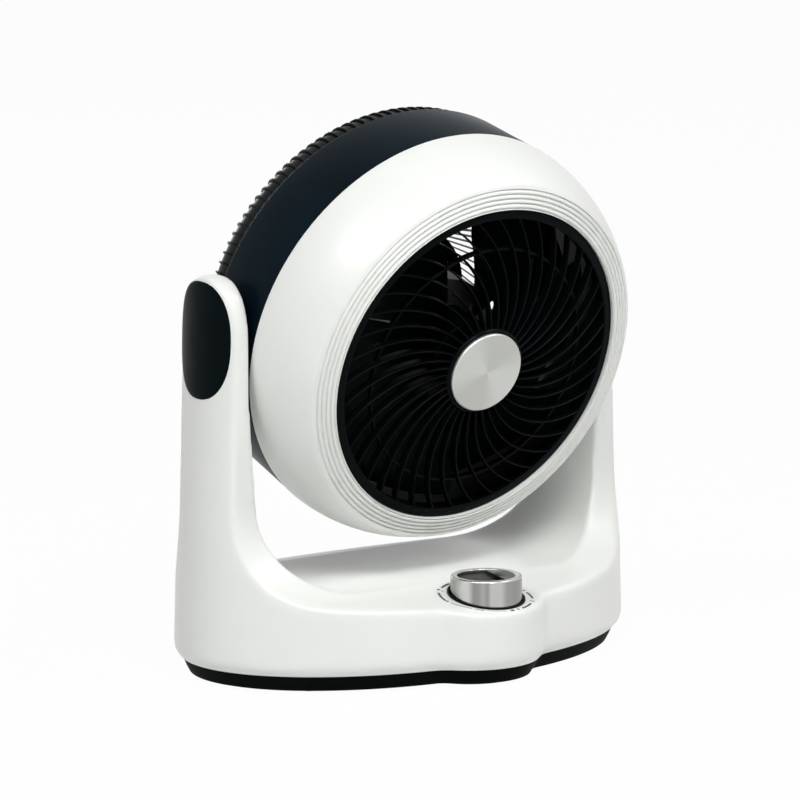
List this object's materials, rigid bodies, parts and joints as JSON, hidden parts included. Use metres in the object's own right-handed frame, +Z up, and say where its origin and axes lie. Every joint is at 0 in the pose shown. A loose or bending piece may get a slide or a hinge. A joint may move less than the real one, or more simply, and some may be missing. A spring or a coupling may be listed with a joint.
{
  "type": "air circulator fan",
  "caption": "Table-top air circulator: a drum-shaped fan head with a swirled front grille, tilting between the arms of a U-shaped stand with a speed knob.",
  "frame": {"origin": "on the floor, in the middle of the stand's outline", "axes": "+Z up, -Y the way the fan faces, +X to the right seen from the front; the pivot line runs along X"},
  "size_m": [0.338, 0.24, 0.3742],
  "materials": {
    "white_shell": "smooth white moulding with a soft gloss",
    "black_gloss": "glossy black moulding",
    "black_satin": "satin black moulding",
    "silver_trim": "brushed silver",
    "bright_steel": "ground steel",
    "zinc_plate": "zinc plated",
    "motor_case": "die cast",
    "core_steel": "stacked steel sheets",
    "copper_wire": "varnished copper wire",
    "rubber_foot": "matt rubber",
    "beige_moulding": "plain moulding"
  },
  "bodies": {
    "stand": {"stand_shell": "white_shell", "base_plate": "black_gloss", "foot_1": "rubber_foot", "foot_2": "rubber_foot", "foot_3": "rubber_foot", "foot_4": "rubber_foot", "base_screw_1": "zinc_plate", "base_screw_2": "zinc_plate", "base_screw_3": "zinc_plate", "base_screw_4": "zinc_plate", "cord_inlet": "black_satin", "capacitor": "beige_moulding", "terminal_block": "beige_moulding", "switch_body": "beige_moulding", "switch_nut": "zinc_plate", "knob_bezel": "black_satin", "arm_cap_left": "black_gloss", "arm_cap_right": "black_gloss", "pivot_bush_left": "black_satin", "pivot_bush_right": "black_satin"},
    "head": {"rear_drum": "black_satin", "front_shell": "white_shell", "front_grille": "black_gloss", "badge": "silver_trim", "air_duct": "black_satin", "rear_grille": "black_satin", "grille_screw_1": "zinc_plate", "grille_screw_2": "zinc_plate", "grille_screw_3": "zinc_plate", "grille_screw_4": "zinc_plate", "motor_mount": "zinc_plate", "mount_screw_1": "zinc_plate", "mount_screw_2": "zinc_plate", "mount_screw_3": "zinc_plate", "motor_screw_1": "zinc_plate", "motor_screw_2": "zinc_plate", "motor_screw_3": "zinc_plate", "motor_rear_bell": "motor_case", "motor_front_bell": "motor_case", "bearing_rear": "bright_steel", "bearing_front": "bright_steel", "stator_core": "core_steel", "stator_windings": "copper_wire", "trunnion_left": "bright_steel", "trunnion_right": "bright_steel", "pivot_washer_left": "bright_steel", "pivot_washer_right": "bright_steel", "pivot_screw_left": "zinc_plate", "pivot_screw_right": "zinc_plate"},
    "spin": {"motor_shaft": "bright_steel", "rotor_core": "motor_case", "fan_blade": "black_gloss", "blade_nut": "black_satin"},
    "knob": {"speed_knob": "silver_trim", "knob_insert": "black_satin", "switch_spindle": "bright_steel"}
  },
  "joints": [
    {"name": "head_tilt", "type": "hinge", "parent": "stand", "child": "head", "pos_m": [0, 0.009, 0.2345], "axis": [1, 0, 0], "range_deg": [-106, 9]},
    {"name": "fan_spin", "type": "hinge", "parent": "head", "child": "spin", "pos_m": [0, 0.009, 0.2345], "axis": [0, -0.9593, -0.2823], "continuous": true},
    {"name": "knob_turn", "type": "hinge", "parent": "stand", "child": "knob", "pos_m": [0, -0.0875, 0.05], "axis": [0, 0, 1], "range_deg": [-270, 0]}
  ]
}
